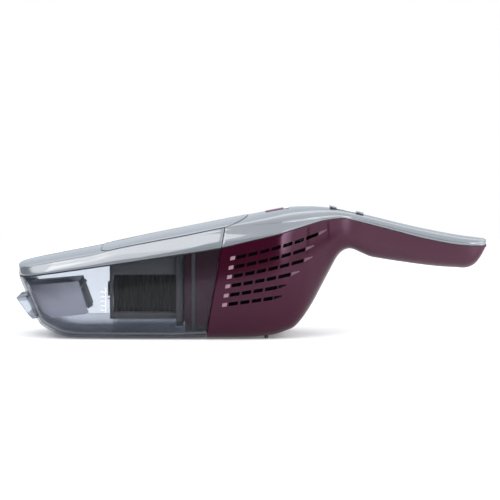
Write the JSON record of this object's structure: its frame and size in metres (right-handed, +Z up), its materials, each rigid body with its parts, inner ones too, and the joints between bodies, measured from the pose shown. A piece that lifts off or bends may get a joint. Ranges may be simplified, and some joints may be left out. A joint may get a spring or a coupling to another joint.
{
  "type": "handheld vacuum cleaner",
  "caption": "Cordless handheld vacuum cleaner with a smoky clear dust cup, silver top cover, burgundy vented housing and a pull-out crevice nozzle",
  "frame": {"origin": "on the floor, under the middle of the length", "axes": "+X towards the end of the handle, +Y across, +Z up"},
  "size_m": [0.4202, 0.1162, 0.1154],
  "materials": {
    "housing": "smooth",
    "silver_trim": "satin",
    "smoky_clear": "smoky",
    "clear": "smooth",
    "dark_plastic": "fine grain",
    "grey_plastic": "fine grain",
    "rubber": "smooth",
    "steel": "brushed",
    "copper": "wound",
    "contact": "polished",
    "board": "solder mask",
    "wrap": "shrink wrap",
    "wire": "smooth",
    "pleat": "pleated",
    "white": "frosted"
  },
  "bodies": {
    "body": {"housing_left": "housing", "housing_right": "housing", "top_cover": "silver_trim", "bulkhead": "housing", "inlet_grille": "dark_plastic", "cup_seal": "rubber", "motor_can": "steel", "motor_end_cap": "dark_plastic", "motor_mount": "rubber", "fan_housing": "grey_plastic", "battery_cells": "wrap", "battery_tray": "dark_plastic", "battery_tabs": "steel", "charge_board": "board", "board_parts": "dark_plastic", "charge_pins": "contact", "contact_block": "dark_plastic", "motor_leads": "wire", "indicator_light": "white", "switch_base": "grey_plastic", "switch_bezel": "dark_plastic", "housing_screws": "steel", "release_spring": "steel", "rubber_feet": "rubber", "exhaust_foam": "pleat"},
    "rotor": {"motor_shaft": "steel", "armature": "copper", "fan_impeller": "grey_plastic", "fan_nut": "steel"},
    "release": {"release_button": "housing"},
    "switch": {"power_slider": "silver_trim"},
    "cup": {"cup_shell": "smoky_clear", "cup_cover": "silver_trim", "top_panel": "silver_trim", "inlet_duct": "smoky_clear", "flap_pin": "steel", "level_marks": "white", "cup_rails": "clear"},
    "crevice": {"crevice_nozzle": "clear"},
    "flap": {"flap_valve": "rubber"},
    "filter": {"filter_frame": "grey_plastic", "filter_pleats": "pleat", "filter_flange": "grey_plastic", "filter_seal": "rubber", "filter_pull_tab": "grey_plastic"}
  },
  "joints": [
    {"name": "cup_pull", "type": "slide", "parent": "body", "child": "cup", "axis": [-1, 0, 0], "range_m": [0, 0.16]},
    {"name": "filter_pull", "type": "slide", "parent": "cup", "child": "filter", "axis": [1, 0, 0], "range_m": [0, 0.088]},
    {"name": "crevice_pull", "type": "slide", "parent": "cup", "child": "crevice", "axis": [-0.9925, 0, -0.1219], "range_m": [0, 0.04]},
    {"name": "flap_swing", "type": "hinge", "parent": "cup", "child": "flap", "pos_m": [-0.1514, 0, 0.0452], "axis": [0, -1, 0], "range_deg": [0, 30], "stiffness_Nm_per_rad": 0.004},
    {"name": "release_press", "type": "slide", "parent": "body", "child": "release", "axis": [0, 0, -1], "range_m": [0, 0.002], "stiffness_N_per_m": 400, "deforming": ["release_spring"]},
    {"name": "power_slide", "type": "slide", "parent": "body", "child": "switch", "axis": [0.9736, 0, -0.2283], "range_m": [-0.004, 0.004]},
    {"name": "rotor_spin", "type": "hinge", "parent": "body", "child": "rotor", "pos_m": [0, 0, 0.057], "axis": [1, 0, 0], "continuous": true}
  ],
  "couplings": [
    {"joint": "filter_pull", "follows": "cup_pull", "ratio": 0.55}
  ]
}
